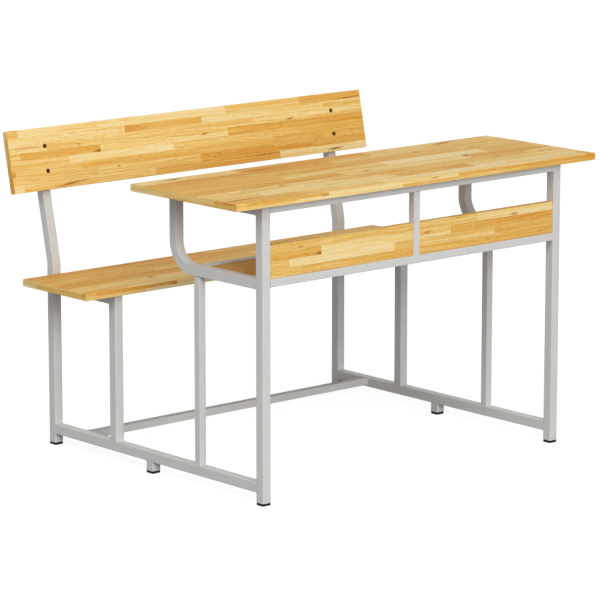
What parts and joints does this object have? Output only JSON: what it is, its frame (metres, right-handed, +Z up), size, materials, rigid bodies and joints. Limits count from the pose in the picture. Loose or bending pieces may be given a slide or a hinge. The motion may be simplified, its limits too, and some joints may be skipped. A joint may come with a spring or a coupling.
{
  "type": "school desk with bench",
  "caption": "Two-seat school desk and bench on one welded square-tube frame, with a book shelf, front panels and a leaning backrest of laminated wood.",
  "frame": {"origin": "on the floor, at the centre of the length and depth of the whole desk and bench", "axes": "+X along the desk, to the right of someone who faces the front panels; +Y from the front of the desk to the backrest; +Z up"},
  "size_m": [1.2, 0.942, 0.8206],
  "materials": {
    "laminated_wood": "satin clear lacquer over edge-glued staves",
    "grey_powder_coat": "fine satin powder coat, light grey",
    "black_plastic": "moulded, matt",
    "zinc_plated_steel": "zinc plated",
    "black_phosphated_steel": "phosphated, nearly black"
  },
  "bodies": {
    "root": {"desktop": "laminated_wood", "seat": "laminated_wood", "backrest": "laminated_wood", "book_shelf": "laminated_wood", "front_panel_left": "laminated_wood", "front_panel_right": "laminated_wood", "front_leg_left": "grey_powder_coat", "stub_foot_left": "grey_powder_coat", "middle_post_left": "grey_powder_coat", "bench_leg_left": "grey_powder_coat", "floor_rail_left": "grey_powder_coat", "desk_side_rail_left": "grey_powder_coat", "seat_side_rail_left": "grey_powder_coat", "curved_rail_left": "grey_powder_coat", "back_post_left": "grey_powder_coat", "front_leg_right": "grey_powder_coat", "stub_foot_right": "grey_powder_coat", "middle_post_right": "grey_powder_coat", "bench_leg_right": "grey_powder_coat", "floor_rail_right": "grey_powder_coat", "desk_side_rail_right": "grey_powder_coat", "seat_side_rail_right": "grey_powder_coat", "curved_rail_right": "grey_powder_coat", "back_post_right": "grey_powder_coat", "desk_front_rail": "grey_powder_coat", "desk_back_rail": "grey_powder_coat", "shelf_front_rail": "grey_powder_coat", "shelf_back_rail": "grey_powder_coat", "seat_cross_rail": "grey_powder_coat", "floor_stretcher": "grey_powder_coat", "centre_post": "grey_powder_coat", "shelf_tab_front_left": "grey_powder_coat", "shelf_tab_front_right": "grey_powder_coat", "shelf_tab_back_left": "grey_powder_coat", "shelf_tab_back_right": "grey_powder_coat", "panel_tab_left": "grey_powder_coat", "panel_tab_centre": "grey_powder_coat", "panel_tab_right": "grey_powder_coat", "foot_cap_front_left": "black_plastic", "foot_cap_front_right": "black_plastic", "foot_cap_middle_left": "black_plastic", "foot_cap_middle_right": "black_plastic", "foot_cap_back_left": "black_plastic", "foot_cap_back_right": "black_plastic", "post_cap_left": "black_plastic", "post_cap_right": "black_plastic", "desktop_screw_front_left": "zinc_plated_steel", "desktop_screw_front_right": "zinc_plated_steel", "desktop_screw_back_left": "zinc_plated_steel", "desktop_screw_back_right": "zinc_plated_steel", "seat_screw_front_left": "zinc_plated_steel", "seat_screw_front_right": "zinc_plated_steel", "seat_screw_back_left": "zinc_plated_steel", "seat_screw_back_right": "zinc_plated_steel", "desktop_screw_centre": "zinc_plated_steel", "seat_screw_centre": "zinc_plated_steel", "backrest_screw_lower_left": "black_phosphated_steel", "backrest_screw_lower_right": "black_phosphated_steel", "backrest_screw_upper_left": "black_phosphated_steel", "backrest_screw_upper_right": "black_phosphated_steel"}
  },
  "joints": []
}
